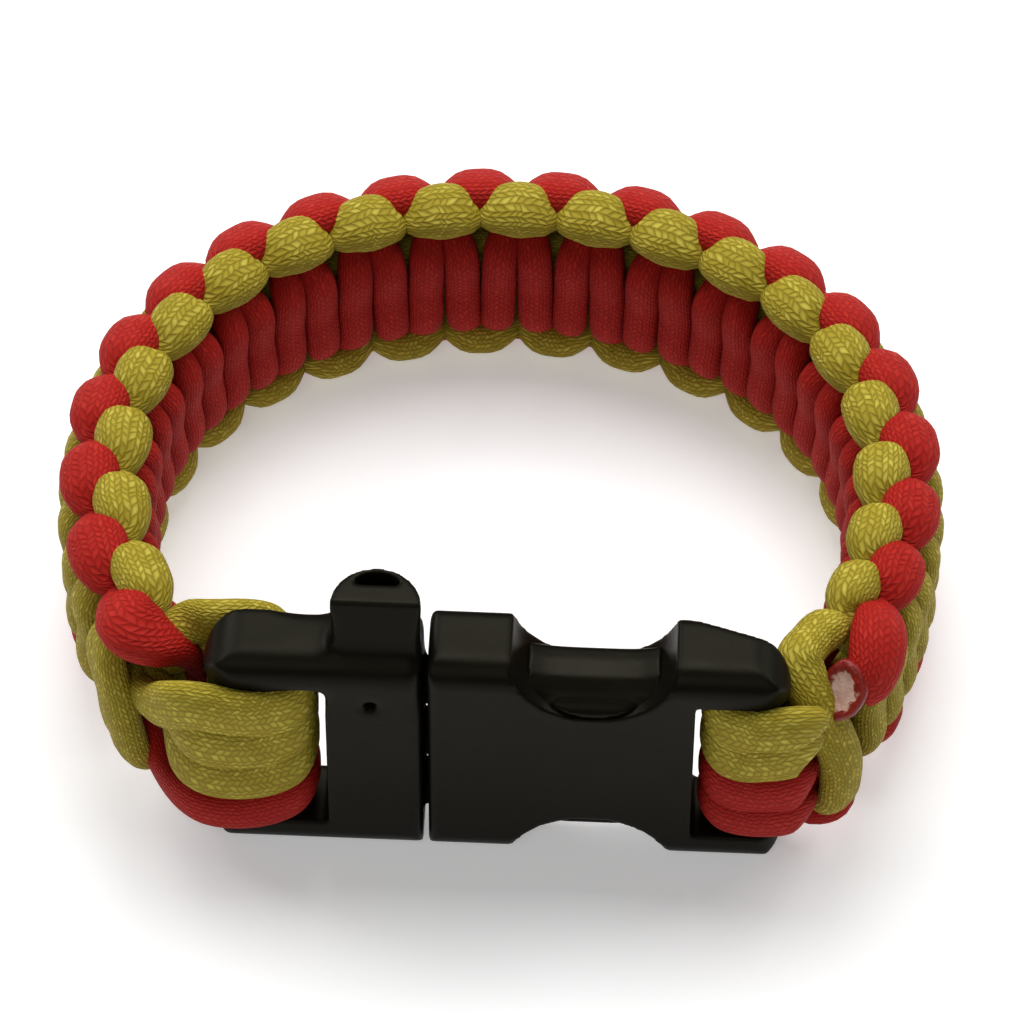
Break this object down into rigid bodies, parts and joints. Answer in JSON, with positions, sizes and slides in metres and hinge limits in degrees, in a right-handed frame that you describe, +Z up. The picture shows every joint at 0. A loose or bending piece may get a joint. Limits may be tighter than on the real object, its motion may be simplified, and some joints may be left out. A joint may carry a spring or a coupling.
{
  "type": "paracord bracelet",
  "caption": "Bracelet knotted from yellow and red cord over a cord core, closed by a black side-release buckle with a whistle mouthpiece on its edge.",
  "frame": {"origin": "on the ground, under the middle of the whole bracelet's box, as it lies on its edge", "axes": "+X along the buckle from the whistle half to the socket half, +Y from the buckle to the back of the band, +Z up, across the band's width"},
  "size_m": [0.086, 0.0708, 0.0352],
  "materials": {
    "buckle": "satin moulded plastic",
    "yellow_cord": "braided sheath",
    "red_cord": "braided sheath"
  },
  "bodies": {
    "root": {"whistle_half": "buckle", "socket_half": "buckle", "yellow_cord": "yellow_cord", "red_cord": "red_cord", "core_cords": "yellow_cord", "left_yellow_loops": "yellow_cord", "left_red_loop": "red_cord", "right_yellow_loops": "yellow_cord", "right_red_loops": "red_cord"}
  },
  "joints": []
}
